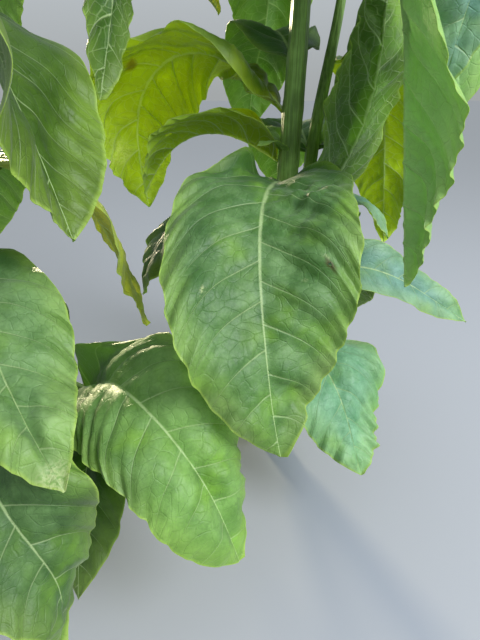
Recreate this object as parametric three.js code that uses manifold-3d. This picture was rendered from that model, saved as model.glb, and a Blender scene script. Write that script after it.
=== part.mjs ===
// A tobacco plant: three stems from one root, each with broad drooping leaves set round it in a spiral.
// Millimetres and degrees, +Z up, the origin on the ground under the main stem.
// A heading of 0 points along +X, 90 along +Y. A rise is the angle above the horizontal.
import * as THREE from 'three';
import { mergeVertices } from 'three/addons/utils/BufferGeometryUtils.js';
import Module from 'manifold-3d';

const wasm = await Module();
wasm.setup();

// Stems
const STEM_SIDES = 12;
const CLEARANCE = 0.35; // between a leaf and the stem that carries it
const FLARE_HEIGHT = 28; // how fast the root flare dies away
const MIDDLE_AT = 0.45; // the share of a stem's length below which it hardly tapers
const RING_CROWDING = 1.25; // over 1, a stem's rings lie closer together at its foot
const SEARCH_STEPS = 24;

// Leaves
const SETTING_DEPTH = 0.55; // where in its stem a leaf's stalk starts, as a share of the stem's radius
const BEND_REACH = 0.42; // half the stretch over which a leaf bends, as a share of its length
const LENGTH_PER_THICKNESS = 95;
const WIDEST_AT = 0.4; // share of the blade's length
const BASE_ROUNDNESS = 3;
const TIP_SHARPNESS = 0.95;
const STALK_SHARE = 0.04; // bare stalk, as a share of the leaf's length
const STALK_PER_LENGTH = 0.017; // half the stalk's width
const TIP_HALF_WIDTH = 1.6;
const RIB_PER_LENGTH = 0.011; // how far the midrib stands out under the blade
const RIB_FADE = 0.75; // the share of that which is gone by the tip
const FOLD_FADE = 0.6; // the share of the fold that is gone by the tip
const PATH_STEPS = 60;
const WAVES = 2.2; // ripples along one margin
const OTHER_MARGIN = 2.1; // how far one margin's ripples run ahead of the other's, in radians

const LEAF_DEFAULTS = {
  bend: 0.42, // where along the leaf it droops most
  sway: 0, // how far its heading turns by the tip
  roll: 0, // tilt about its own length at the stalk
  twist: 0, // further tilt by the tip
  fold: 14, // how far each half rises from the midrib
  curl: 22, // how far each margin turns down again
  blunt: 2.2, // how full its outline stays towards the tip
  wave: 0.02, // ripple height, as a share of the length
  grid: 'middle',
  tone: 'grown',
};
const GRIDS = { broad: [6, 10], middle: [4, 8], small: [4, 5] }; // faces across a blade and along it

const paint = (color, roughness) => new THREE.MeshStandardMaterial({ color, roughness, metalness: 0 });
const stemGreen = paint(0x6d8042, 0.55);
const leafTones = {
  grown: paint(0x5f8f3e, 0.5),
  young: paint(0x8fb554, 0.5),
  fading: paint(0xb9c24a, 0.55),
};

const radians = THREE.MathUtils.degToRad;

// Each stem is a curve through a few points with a radius at the foot and at the tip.
const stems = {
  main: {
    curve: new THREE.CatmullRomCurve3([
      new THREE.Vector3(0, 0, 0),
      new THREE.Vector3(0, 0, 300),
      new THREE.Vector3(17, 0, 780),
      new THREE.Vector3(24, 6, 1150),
      new THREE.Vector3(26, 10, 1440),
    ]),
    foot: 18.5, middle: 15, tip: 2.4, flare: 9, rings: 14,
  },
  right: {
    curve: new THREE.CatmullRomCurve3([
      new THREE.Vector3(16, 13, 24),
      new THREE.Vector3(34, 44, 180),
      new THREE.Vector3(57, 82, 574),
      new THREE.Vector3(92, 104, 800),
      new THREE.Vector3(120, 120, 1120),
    ]),
    foot: 13, middle: 11.5, tip: 2, flare: 0, rings: 12,
  },
  left: {
    curve: new THREE.CatmullRomCurve3([
      new THREE.Vector3(-17, -11, 24),
      new THREE.Vector3(-120, -70, 100),
      new THREE.Vector3(-260, -140, 190),
      new THREE.Vector3(-372, -196, 310),
      new THREE.Vector3(-420, -216, 450),
      new THREE.Vector3(-440, -224, 700),
      new THREE.Vector3(-446, -226, 950),
    ]),
    foot: 12.5, middle: 10.5, tip: 2, flare: 0, rings: 14,
  },
};

const stemRadius = (stem, share) => {
  const length = stem.curve.getLength();
  const taper = share < MIDDLE_AT
    ? THREE.MathUtils.lerp(stem.foot, stem.middle, share / MIDDLE_AT)
    : THREE.MathUtils.lerp(stem.middle, stem.tip, (share - MIDDLE_AT) / (1 - MIDDLE_AT));
  return taper + stem.flare * Math.exp(-(share * length) / FLARE_HEIGHT);
};

// A closed tube round the stem's curve, wider by `extra`: a cylinder whose rings are set along the curve.
function stemGeometry(stem, extra = 0) {
  const geometry = new THREE.CylinderGeometry(1, 1, 1, STEM_SIDES, stem.rings);
  const place = geometry.getAttribute('position');
  for (let i = 0; i < place.count; i += 1) {
    const share = place.getY(i) + 0.5;
    const eased = share ** RING_CROWDING;
    const centre = stem.curve.getPointAt(eased);
    const radius = stemRadius(stem, eased) + extra;
    const along = stem.curve.getTangentAt(eased);
    if (share === 0 && stem.flare > 0) along.set(0, 0, 1);
    const side = new THREE.Vector3(1, 0, 0).addScaledVector(along, -along.x).normalize();
    const back = new THREE.Vector3().crossVectors(along, side);
    const point = centre.clone()
      .addScaledVector(side, place.getX(i) * radius)
      .addScaledVector(back, -place.getZ(i) * radius);
    place.setXYZ(i, point.x, point.y, point.z);
  }
  return geometry;
}

// The share of a stem's curve that lies at a height.
function shareAtHeight(stem, height) {
  let low = 0;
  let high = 1;
  for (let i = 0; i < SEARCH_STEPS; i += 1) {
    const middle = (low + high) / 2;
    if (stem.curve.getPointAt(middle).z < height) low = middle;
    else high = middle;
  }
  return (low + high) / 2;
}

// The blade's half width as a share of its greatest, from the base at 0 to the tip at 1.
function outline(t, blunt) {
  const blade = Math.max(0, (t - STALK_SHARE) / (1 - STALK_SHARE));
  if (blade < WIDEST_AT) return Math.sqrt(1 - ((WIDEST_AT - blade) / WIDEST_AT) ** BASE_ROUNDNESS);
  return (1 - ((blade - WIDEST_AT) / (1 - WIDEST_AT)) ** blunt) ** TIP_SHARPNESS;
}

// The midrib as points with a tangent, a direction across and an upper side, from the stem to the tip.
function midrib(stem, leaf) {
  const share = shareAtHeight(stem, leaf.up);
  const point = stem.curve.getPointAt(share);
  const outward = new THREE.Vector3(Math.cos(radians(leaf.heading)), Math.sin(radians(leaf.heading)), 0);
  point.addScaledVector(outward, stemRadius(stem, share) * SETTING_DEPTH);
  const steps = [];
  for (let i = 0; i <= PATH_STEPS; i += 1) {
    const t = i / PATH_STEPS;
    const heading = radians(leaf.heading + leaf.sway * t * t);
    const bent = THREE.MathUtils.smoothstep(t, leaf.bend - BEND_REACH, leaf.bend + BEND_REACH);
    const rise = radians(leaf.rise - leaf.droop * bent);
    const along = new THREE.Vector3(
      Math.cos(rise) * Math.cos(heading), Math.cos(rise) * Math.sin(heading), Math.sin(rise));
    const upper = new THREE.Vector3(
      -Math.sin(rise) * Math.cos(heading), -Math.sin(rise) * Math.sin(heading), Math.cos(rise));
    upper.applyAxisAngle(along, radians(leaf.roll + leaf.twist * t));
    const across = new THREE.Vector3().crossVectors(along, upper);
    steps.push({ point: point.clone(), along, upper, across });
    point.addScaledVector(along, leaf.length / PATH_STEPS);
  }
  return steps;
}

// A blade made from a thin box: its Y runs from stalk to tip, its X across, and its Z through the thickness.
function bladeGeometry(stem, leaf) {
  const [columns, rows] = GRIDS[leaf.grid];
  const geometry = new THREE.BoxGeometry(2, 1, 1, columns, rows, 1);
  const place = geometry.getAttribute('position');
  const path = midrib(stem, leaf);
  const thickness = leaf.length / LENGTH_PER_THICKNESS;
  for (let i = 0; i < place.count; i += 1) {
    const a = place.getX(i);
    const t = (1 - Math.cos(Math.PI * (place.getY(i) + 0.5))) / 2;
    const z = place.getZ(i) * 2;
    const at = Math.min(PATH_STEPS - 1e-6, t * PATH_STEPS);
    const low = path[Math.floor(at)];
    const high = path[Math.floor(at) + 1];
    const mix = at - Math.floor(at);
    const point = low.point.clone().lerp(high.point, mix);
    const upper = low.upper.clone().lerp(high.upper, mix).normalize();
    const across = low.across.clone().lerp(high.across, mix).normalize();
    const stalk = THREE.MathUtils.lerp(leaf.length * STALK_PER_LENGTH, TIP_HALF_WIDTH, t);
    const half = Math.max(stalk, t > STALK_SHARE ? (leaf.width / 2) * outline(t, leaf.blunt) : 0);
    const reach = Math.abs(a);
    const side = Math.sign(a);
    const opening = half > stalk * 1.5 ? 1 : 0;
    const fold = leaf.fold * (1 - FOLD_FADE * t);
    const slope = radians(opening * (fold - leaf.curl * reach));
    const mean = radians(opening * (fold - (leaf.curl * reach) / 2));
    const phase = radians(leaf.heading) + (side < 0 ? OTHER_MARGIN : 0);
    const ripple = opening * leaf.wave * leaf.length * reach ** 2
      * Math.sin(2 * Math.PI * WAVES * t + phase);
    point.addScaledVector(across, side * reach * half * Math.cos(mean));
    point.addScaledVector(upper, reach * half * Math.sin(mean) + ripple);
    const normal = upper.clone().multiplyScalar(Math.cos(slope))
      .addScaledVector(across, -side * Math.sin(slope));
    const rib = z < 0 && reach < 0.01 ? leaf.length * RIB_PER_LENGTH * (1 - RIB_FADE * t) : 0;
    point.addScaledVector(normal, (z * thickness) / 2 - rib);
    place.setXYZ(i, point.x, point.y, point.z);
  }
  return geometry;
}

// A closed mesh as a solid for joining and cutting, and back again.
function solidOf(geometry) {
  const bare = geometry.clone();
  bare.deleteAttribute('normal');
  bare.deleteAttribute('uv');
  const merged = mergeVertices(bare, 1e-3);
  return new wasm.Manifold(new wasm.Mesh({
    numProp: 3,
    vertProperties: merged.getAttribute('position').array,
    triVerts: new Uint32Array(merged.index.array),
  }));
}

function geometryOf(solid) {
  const mesh = solid.getMesh();
  const geometry = new THREE.BufferGeometry();
  geometry.setAttribute('position', new THREE.BufferAttribute(new Float32Array(mesh.vertProperties), 3));
  geometry.setIndex(new THREE.BufferAttribute(new Uint32Array(mesh.triVerts), 1));
  geometry.computeVertexNormals();
  return geometry;
}

// The lower leaves of each stem, each set by eye: the height it grows from, then how it leaves the stem,
// bends, turns and droops.
const leaves = {
  main: [
    { up: 180, heading: 150, rise: 30, droop: 85, length: 320, width: 170 },
    { up: 235, heading: 296, rise: 32, droop: 91, length: 330, width: 190, grid: 'broad' },
    {
      up: 375, heading: 358, rise: 18, droop: 51, bend: 0.35, roll: 40, twist: 6, fold: 30,
      length: 363, width: 96, grid: 'broad',
    },
    { up: 405, heading: 128, rise: 30, droop: 95, length: 390, width: 210 },
    { up: 462, heading: 196, rise: 18, droop: 96, bend: 0.56, length: 310, width: 160, grid: 'broad' },
    {
      up: 535, heading: 254, sway: 54, rise: 9, droop: 80, bend: 0.46, roll: -7, twist: 15, fold: 24,
      curl: 14, blunt: 3.2, length: 510, width: 222, grid: 'broad',
    },
    {
      up: 562, heading: 168, rise: 30, droop: 88, bend: 0.5, fold: 46, curl: 8, length: 295, width: 130,
      grid: 'broad',
    },
    {
      up: 634, heading: 156, rise: 42, droop: 140, bend: 0.47, twist: 45, curl: 38, length: 510, width: 220,
      grid: 'broad',
    },
    { up: 700, heading: 104, rise: 38, droop: 105, length: 380, width: 150 },
    {
      up: 875, heading: 318, sway: 24, rise: 46, droop: 128, bend: 0.07, roll: 26, twist: -62, fold: 50,
      curl: 14, length: 560, width: 250, grid: 'broad',
    },
    {
      up: 860, heading: 198, rise: 36, droop: 112, bend: 0.36, twist: 50, length: 450, width: 160,
      grid: 'broad',
    },
    { up: 942, heading: 236, rise: 38, droop: 138, length: 385, width: 100 },
    { up: 968, heading: 146, rise: 27, droop: 138, length: 380, width: 150, tone: 'fading' },
    { up: 800, heading: 98, rise: 44, droop: 105, length: 400, width: 180 },
    { up: 300, heading: 118, rise: 30, droop: 92, length: 330, width: 150 },
  ],
  left: [
    {
      up: 205, heading: 266, sway: 12, rise: 16, droop: 67, bend: 0.28, roll: 13, length: 290, width: 138,
      grid: 'broad',
    },
    {
      up: 231, heading: 301, sway: 58, rise: 42, droop: 117, bend: 0.53, roll: 41, twist: -28, fold: 34,
      curl: 48, blunt: 3.9, length: 478, width: 164, grid: 'broad',
    },
    {
      up: 300, heading: 268, sway: 165, rise: 7, droop: 120, bend: 0.64, roll: 23, twist: 26, fold: 20,
      length: 460, width: 180, grid: 'broad',
    },
    {
      up: 470, heading: 305, sway: 13, rise: 21, droop: 53, bend: 0.11, fold: 21, curl: 6, blunt: 1.9,
      length: 342, width: 167, grid: 'broad',
    },
    { up: 450, heading: 190, rise: 30, droop: 95, length: 320, width: 170 },
    { up: 540, heading: 104, rise: 35, droop: 100, length: 330, width: 170 },
    { up: 580, heading: 21, rise: 20, droop: 96, bend: 0.32, length: 395, width: 140, tone: 'fading' },
    { up: 660, heading: 215, rise: 38, droop: 105, length: 320, width: 170 },
    {
      up: 760, heading: 349, sway: -22, rise: 28, droop: 100, bend: 0.2, roll: -40, twist: 36, fold: 19,
      curl: -17, blunt: 1.8, length: 353, width: 286, grid: 'broad',
    },
    { up: 800, heading: 70, rise: 38, droop: 100, length: 270, width: 140 },
    { up: 300, heading: 128, rise: 32, droop: 95, length: 300, width: 165 },
  ],
  right: [
    { up: 280, heading: 50, rise: 35, droop: 95, length: 340, width: 180 },
    {
      up: 455, heading: 325, sway: -14, rise: 58, droop: -37, bend: 0.5, roll: -6, length: 415, width: 198,
      grid: 'broad',
    },
    { up: 428, heading: 344, rise: 59, droop: 124, bend: 0.52, length: 210, width: 78 },
    { up: 560, heading: 98, rise: 38, droop: 100, length: 350, width: 180 },
    {
      up: 710, heading: 32, sway: -10, rise: 37, droop: 118, bend: 0.15, twist: -20, length: 430,
      width: 170,
    },
    { up: 905, heading: 290, rise: 30, droop: 134, bend: 0.44, length: 520, width: 150 },
    { up: 390, heading: 72, rise: 34, droop: 98, length: 370, width: 180 },
  ],
};

// Above them each stem's crown repeats a rule: a leaf a golden angle on from the last, shorter, narrower and
// more upright.
const GOLDEN_ANGLE = 137.5;
const YOUNG_BELOW = 200; // shorter leaves have the paler, younger tone
const crowns = {
  main: { count: 12, from: 1005, to: 1410, heading: 195, longest: 430, shortest: 135 },
  left: { count: 4, from: 830, to: 925, heading: 150, longest: 230, shortest: 100 },
  right: { count: 5, from: 930, to: 1095, heading: 140, longest: 260, shortest: 95 },
};

for (const [name, crown] of Object.entries(crowns)) {
  for (let i = 0; i < crown.count; i += 1) {
    const share = i / (crown.count - 1);
    const length = THREE.MathUtils.lerp(crown.longest, crown.shortest, share);
    leaves[name].push({
      up: THREE.MathUtils.lerp(crown.from, crown.to, share ** 0.85),
      heading: crown.heading + GOLDEN_ANGLE * i,
      rise: THREE.MathUtils.lerp(38, 66, share),
      droop: THREE.MathUtils.lerp(100, 40, share),
      length,
      width: length * THREE.MathUtils.lerp(0.48, 0.38, share),
      grid: length > 260 ? 'middle' : 'small',
      tone: length > YOUNG_BELOW ? 'grown' : 'young',
    });
  }
}

const group = new THREE.Group();
const addMesh = (name, geometry, material) => {
  const mesh = new THREE.Mesh(geometry, material);
  mesh.name = name;
  group.add(mesh);
};

const cutters = {};
for (const [name, stem] of Object.entries(stems)) cutters[name] = solidOf(stemGeometry(stem, CLEARANCE));
for (const [name, stem] of Object.entries(stems)) {
  const whole = solidOf(stemGeometry(stem));
  addMesh(`${name}_stem`, geometryOf(name === 'main' ? whole : whole.subtract(cutters.main)), stemGreen);
}
for (const [name, rows] of Object.entries(leaves)) {
  rows.forEach((row, index) => {
    const leaf = { ...LEAF_DEFAULTS, ...row };
    const blade = solidOf(bladeGeometry(stems[name], leaf)).subtract(cutters[name]);
    addMesh(`${name}_leaf_${String(index + 1).padStart(2, '0')}`, geometryOf(blade), leafTones[leaf.tone]);
  });
}

export default group;
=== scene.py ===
# The looks of a tobacco plant: every leaf is a quilted, veined blade and every stem a ridged stalk.
# Lengths in the tables are millimetres and angles degrees; the meshes are made in metres.
# A heading of 0 points along +X, 90 along +Y. A rise is the angle above the horizontal.
import math

import bmesh
import bpy
import numpy as np
from bpy.props import EnumProperty, FloatProperty, FloatVectorProperty, IntProperty, PointerProperty
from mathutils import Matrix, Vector


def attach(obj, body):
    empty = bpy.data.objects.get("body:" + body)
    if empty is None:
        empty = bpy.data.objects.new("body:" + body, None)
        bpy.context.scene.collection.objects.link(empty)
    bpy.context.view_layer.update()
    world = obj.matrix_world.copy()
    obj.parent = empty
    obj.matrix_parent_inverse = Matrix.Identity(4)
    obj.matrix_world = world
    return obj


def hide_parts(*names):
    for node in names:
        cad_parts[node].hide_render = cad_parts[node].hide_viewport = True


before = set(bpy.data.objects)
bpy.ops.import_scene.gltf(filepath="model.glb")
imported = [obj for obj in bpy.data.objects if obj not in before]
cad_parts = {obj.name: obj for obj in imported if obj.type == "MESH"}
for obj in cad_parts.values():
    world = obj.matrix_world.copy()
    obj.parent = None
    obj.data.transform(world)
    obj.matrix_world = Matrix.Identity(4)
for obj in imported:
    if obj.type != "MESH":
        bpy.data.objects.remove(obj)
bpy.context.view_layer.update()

bl_info = {
    "name": "Tobacco Plant",
    "version": (1, 1, 0),
    "blender": (4, 5, 0),
    "location": "View3D > Sidebar > Plant",
    "description": "Grows the leaves and stems of a tobacco plant round its packed frame",
    "category": "Add Mesh",
}

MM = 0.001
TAU = 2 * math.pi

# Stems, each a curve through a few points, with its radius at the foot, below half way and at the tip.
MIDDLE_AT = 0.45
FLARE_HEIGHT = 28
CURVE_SAMPLES = 400
STEMS = {
    "main": dict(
        points=[(0, 0, 0), (0, 0, 300), (17, 0, 780), (24, 6, 1150), (26, 10, 1440)],
        foot=18.5, middle=15, tip=2.4, flare=9,
    ),
    "right": dict(
        points=[(16, 13, 24), (34, 44, 180), (57, 82, 574), (92, 104, 800), (120, 120, 1120)],
        foot=13, middle=11.5, tip=2, flare=0,
    ),
    "left": dict(
        points=[(-17, -11, 24), (-120, -70, 100), (-260, -140, 190), (-372, -196, 310),
                (-420, -216, 450), (-440, -224, 700), (-446, -226, 950)],
        foot=12.5, middle=10.5, tip=2, flare=0,
    ),
}

# Leaves, by the same rule as the frame's: where each grows, how it leaves the stem, bends, turns and droops.
SETTING_DEPTH = 0.55
BEND_REACH = 0.42
WIDEST_AT = 0.4
BASE_ROUNDNESS = 3
TIP_SHARPNESS = 0.95
STALK_SHARE = 0.04
STALK_PER_LENGTH = 0.017
TIP_HALF_WIDTH = 0.5
FOLD_FADE = 0.6
PATH_STEPS = 60
WAVES = 2.2
OTHER_MARGIN = 2.1
GOLDEN_ANGLE = 137.5
# blunt is how full the outline stays towards the tip. scallop and ruffle shape the margin, pleats and
# crumple the face, and steps tilt it from vein to vein, by so much on each side. wrinkles are
# (t, out, radius, height), holes (t, out, radius), pale patches of wear and of painted sunlight, and brown
# patches of tissue that has died and of painted shade round a hole, (t, out, radius, depth), and
# lobes, which lift or draw down a margin near the base, (side, t, width, height). There t runs from the
# base at 0 to the tip at 1, and out from the midrib at 0 to a margin at 1 or -1.
LEAF_DEFAULTS = dict(
    bend=0.42, sway=0, roll=0, twist=0, fold=14, curl=22, wave=0.02, tone="grown",
    blunt=2.2, scallop=0.016, ruffle=2.6, pleats=0, crumple=1.0, steps=(0, 0),
    wrinkles=(), lobes=(), holes=(), wear_and_sun_patches=(), dead_and_hole_shade=(),
)
LEAVES = {
    "main": [
        dict(up=180, heading=150, rise=30, droop=85, length=320, width=170, tone="shaded"),
        # Its tone is painted lighter and bluer, as painted light and a painted reflection of the sky.
        dict(up=235, heading=296, rise=32, droop=91, length=330, width=190, tone="bluish_sky_sheen", ruffle=4),
        dict(up=375, heading=358, rise=18, droop=51, bend=0.35, roll=40, twist=6, fold=30, length=363,
             width=96, tone="glaucous", scallop=0.01, ruffle=2),
        dict(up=405, heading=128, rise=30, droop=95, length=390, width=210),
        dict(up=462, heading=196, rise=18, droop=96, bend=0.56, length=310, width=160, tone="shaded"),
        dict(up=535, heading=254, sway=54, rise=9, droop=80, bend=0.46, roll=-7, twist=15, fold=24,
             curl=14, blunt=3.2, length=510, width=222, crumple=0.45, steps=(2, 6),
             wrinkles=((0.36, -0.5, 46, 6),), lobes=((0, 0.175, 0.16, -32), (0, 0.14, 0.076, 43)),
             # The brown ring round the hole is painted shade, for the dark seen through it.
             holes=((0.585, -0.70, 2.4),), dead_and_hole_shade=((0.585, -0.70, 4.5, 1.0),),
             wear_and_sun_patches=((0.565, -0.66, 3, 0.9), (0.61, -0.45, 2.5, 0.8), (0.63, 0.62, 4, 0.9))),
        dict(up=562, heading=168, rise=30, droop=88, bend=0.5, fold=46, curl=8, length=295, width=130,
             tone="sunlit", ruffle=5, holes=((0.62, -0.5, 6.0),)),
        dict(up=634, heading=156, rise=42, droop=140, bend=0.47, twist=45, curl=38, length=510, width=220,
             tone="sunlit", dead_and_hole_shade=((0.55, -0.34, 13, 1.0),),
             wear_and_sun_patches=((0.8, -0.55, 30, 0.45),), ruffle=5),
        dict(up=700, heading=104, rise=38, droop=105, length=380, width=150),
        # Its tone is painted lighter, as painted light from the front.
        dict(up=875, heading=318, sway=24, rise=46, droop=128, bend=0.07, roll=26, twist=-62, fold=50,
             curl=14, length=560, width=250, tone="lit_hung", scallop=0.012, ruffle=3),
        dict(up=860, heading=198, rise=36, droop=112, bend=0.36, twist=50, length=450, width=160,
             tone="shaded"),
        dict(up=942, heading=236, rise=38, droop=138, length=385, width=100),
        dict(up=968, heading=146, rise=27, droop=138, length=380, width=150, tone="fading"),
        dict(up=800, heading=98, rise=44, droop=105, length=400, width=180),
        dict(up=300, heading=118, rise=30, droop=92, length=330, width=150, tone="shaded"),
    ],
    "left": [
        dict(up=205, heading=266, sway=12, rise=16, droop=67, bend=0.28, roll=13, length=290, width=138,
             tone="shaded"),
        dict(up=231, heading=301, sway=58, rise=42, droop=117, bend=0.53, roll=41, twist=-28, fold=34,
             curl=48, blunt=3.9, length=478, width=164, tone="bright", pleats=2, crumple=0.8,
             # Its two pale patches are painted sunlight, where the sun falls on the blade.
             lobes=((1, 0.15, 0.11, 55),), wear_and_sun_patches=((0.36, 0.34, 9, 0.45), (0.30, 0.55, 5, 0.5))),
        dict(up=300, heading=268, sway=165, rise=7, droop=120, bend=0.64, roll=23, twist=26, fold=20,
             length=460, width=180, tone="clear"),
        dict(up=470, heading=305, sway=13, rise=21, droop=53, bend=0.11, fold=21, curl=6, blunt=1.9,
             length=342, width=167, wear_and_sun_patches=((0.97, 0.0, 26, 0.55),)),
        dict(up=450, heading=190, rise=30, droop=95, length=320, width=170),
        dict(up=540, heading=104, rise=35, droop=100, length=330, width=170),
        dict(up=580, heading=21, rise=20, droop=96, bend=0.32, length=395, width=140, tone="fading"),
        dict(up=660, heading=215, rise=38, droop=105, length=320, width=170),
        dict(up=760, heading=349, sway=-22, rise=28, droop=100, bend=0.2, roll=-40, twist=36, fold=19,
             curl=-17, blunt=1.8, length=353, width=286, tone="olive", ruffle=2, crumple=0.2, scallop=0.006),
        dict(up=800, heading=70, rise=38, droop=100, length=270, width=140),
        dict(up=300, heading=128, rise=32, droop=95, length=300, width=165, tone="shaded"),
    ],
    "right": [
        dict(up=280, heading=50, rise=35, droop=95, length=340, width=180, tone="shaded"),
        dict(up=455, heading=325, sway=-14, rise=58, droop=-37, bend=0.5, roll=-6, length=415, width=198,
             tone="backlit", crumple=2.2),
        dict(up=428, heading=344, rise=59, droop=124, bend=0.52, length=210, width=78, tone="glaucous"),
        dict(up=560, heading=98, rise=38, droop=100, length=350, width=180),
        dict(up=710, heading=32, sway=-10, rise=37, droop=118, bend=0.15, twist=-20, length=430,
             width=170, tone="sunlit"),
        dict(up=905, heading=290, rise=30, droop=134, bend=0.44, length=520, width=150,
             tone="glaucous"),
        dict(up=390, heading=72, rise=34, droop=98, length=370, width=180),
    ],
}
YOUNG_BELOW = 200
CROWNS = {
    "main": dict(count=12, start=1005, end=1410, heading=195, longest=430, shortest=135),
    "left": dict(count=4, start=830, end=925, heading=150, longest=230, shortest=100),
    "right": dict(count=5, start=930, end=1095, heading=140, longest=260, shortest=95),
}

# Side shoots: a pair of small leaves above the foot of every third leaf, and a tuft round the stem's tip.
SHOOT_GAP = 14
SHOOT_EVERY = 3
SHOOT_SPREAD = (-38, 44)
SHOOT_LENGTHS = (58, 96)
TUFT_COUNT = 6
TUFT_LENGTHS = (42, 74)

# The finer leaf: its rows follow the side veins, and COLUMN_CROWDING draws its columns to the midrib.
FEWEST_VEINS = 5
BROAD_FROM = 200
ROWS_PER_VEIN = dict(broad=15, narrow=10)
CELL = dict(broad=3.3, narrow=4.6)
STALK_ROWS = 4
VEIN_OFFSET = (1 / 3, 5 / 6)  # where the veins of each side start, in vein gaps, so both lie on rows
VEIN_SWEEP = 0.92
VEIN_SLANT = math.radians(46)  # between midrib and side veins, for the cross veins
SWEEP_START = 0.15
MARGIN_CURVE = 4  # the veins turn towards the tip where they near the margin
TURN_SHARE = 0.4
COLUMN_CROWDING = 1.25
THICKEST = 7.0
RIM_THICKNESS = 0.5
RIB_SHARE = 0.0105  # the midrib's half width at its foot, as a share of the leaf's length
FURROW_WIDTH = 4.2  # the half width of a side vein's furrow in the upper side
RIDGE_WIDTH = 2.4  # and of its ridge below
FULL_RELIEF_FROM = 190  # a leaf as wide as this has its relief in full
FULL_VEINS_FROM = 180  # and its veins
MOST_CELLS = 40
CELL_GAINS = (0.35, 1.7)  # how unevenly the blade swells from vein to vein
STEP_RISE = 0.24  # a tilted face rises over this share of a vein gap and falls over the rest
PLEAT_RANGE = (0.62, 0.4)  # where along the leaf the pleats fade in
TROUGH = (1.6, 10)  # depth and half width of the trough along the midrib
TROUGH_RIB = (1.0, 2.6)  # and of the low ridge in it
WRINKLE_GAP = 40
LOBE_DRAW = 0.007  # how far a lobe draws in the margin, for each millimetre that it rises or falls
SWELLS = (190, 120, 75)  # lengths of the long soft waves in the blade
SWELL_STEEPNESS = 32  # their length for each millimetre of height
PLUMPEST = 6  # a pillow that stands this high gets the most painted light above and the most painted shade below


def linear(code):
    """An sRGB hex colour as Blender's linear colour."""
    parts = [int(code[i:i + 2], 16) / 255 for i in (1, 3, 5)]
    return tuple(c / 12.92 if c <= 0.04045 else ((c + 0.055) / 1.055) ** 2.4 for c in parts)


# The settings a user would change.

TONE_PARTS = ("upper_dark", "upper_light", "under", "glow")
TONES = {
    "grown": ("#466e36", "#88ab6e", "#86a766", "#93c22c"),
    "clear": ("#426632", "#74985a", "#7ca05a", "#98c834"),
    "bright": ("#54793a", "#90b768", "#8fb66c", "#a2d23c"),
    # A bluish green painted lighter and bluer than the leaf is: painted light and a painted reflection of
    # the sky.
    "bluish_sky_sheen": ("#669e74", "#a0d0a6", "#8fb694", "#9ccb5c"),
    "glaucous": ("#62917c", "#94c0ae", "#90b4a4", "#a2c85c"),
    "olive": ("#2c480c", "#4e6e20", "#6c8a44", "#8fb82a"),
    # A green painted lighter than the leaf is: painted light from the front.
    "lit_hung": ("#86b468", "#c0e69c", "#b2d88c", "#aad84a"),
    "shaded": ("#2f4d1e", "#51752f", "#557a34", "#74a41a"),
    "backlit": ("#38580f", "#76a038", "#648c32", "#a4d418"),
    "sunlit": ("#46640e", "#94b41c", "#b2d41c", "#ecff28"),
    "fading": ("#94a636", "#ccd162", "#c6ca5c", "#e2e64a"),
    "young": ("#6f9f45", "#a3cc6e", "#9dbf70", "#aed848"),
}


def colour(name, code, description):
    """A colour setting with its default given as an sRGB hex value."""
    return FloatVectorProperty(name=name, description=description, subtype="COLOR", min=0, max=1,
                               default=linear(code))


def length(name, millimetres, description):
    """A length setting with its default given in millimetres."""
    return FloatProperty(name=name, description=description, unit="LENGTH", min=0, precision=4,
                         default=millimetres * MM)


def number(name, default, description, **more):
    """A setting that is a plain number, an angle or a power."""
    return FloatProperty(name=name, description=description, default=default, **more)


class LeafSizes(bpy.types.PropertyGroup):
    """How a leaf's veins lie and how far its surface stands out."""

    vein_gap: length("Vein gap", 50, "Distance between side veins along the midrib")
    rung_gap: length("Cross vein gap", 16, "Distance between the small veins that cross from vein to vein")
    blade: length("Blade", 0.9, "Thickness of the blade between its veins")
    vein: length("Vein", 1.5, "How far a side vein stands out below at the midrib")
    crease: length("Crease", 1.7, "How deep a side vein lies in the upper side")
    bulge: length("Bulge", 3.4, "How far the blade swells between two side veins")
    quilt: length("Quilt", 1.8, "How far it swells between two cross veins")
    glow: number("Glow", 0.4, "Share of the light that the blade lets through",
                 subtype="FACTOR", min=0, max=1)


class LeafColours(bpy.types.PropertyGroup):
    """The colours of the leaves: four for each tone, and those of veins, margins and patches."""

    __annotations__ = {
        f"{tone}_{part}": colour(f"{tone} {part}", code, f"Colour of a {tone} leaf: {part}")
        for tone, codes in TONES.items() for part, code in zip(TONE_PARTS, codes)
    }
    __annotations__.update(
        vein=colour("Vein", "#c4da9a", "Midrib and side veins"),
        hem=colour("Margin", "#b4cf5c", "The lime edge of the blade"),
        # This pale colour paints scuffs and also patches of painted sunlight.
        straw=colour("Straw", "#d6dca0", "Scars and scuffs"),
        # This brown paints tissue that has died, and also a ring of painted shade round a hole.
        rust=colour("Rust", "#4c2a18", "Dead tissue"),
    )


class StalkSettings(bpy.types.PropertyGroup):
    """How finely the stalks are made, and their greens."""

    sides: IntProperty(name="Sides", description="Faces round a stalk", default=72, min=12, max=200)
    ring_gap: length("Ring gap", 7, "Distance between a stalk's rings")
    ridge: length("Ridge", 0.8, "Height of the long ridges")
    dark: colour("Dark green", "#587630", "Furrows of the stalk")
    light: colour("Light green", "#84a852", "Face of the stalk")
    crest: colour("Crest", "#8ca25a", "Crests of the ridges")


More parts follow.
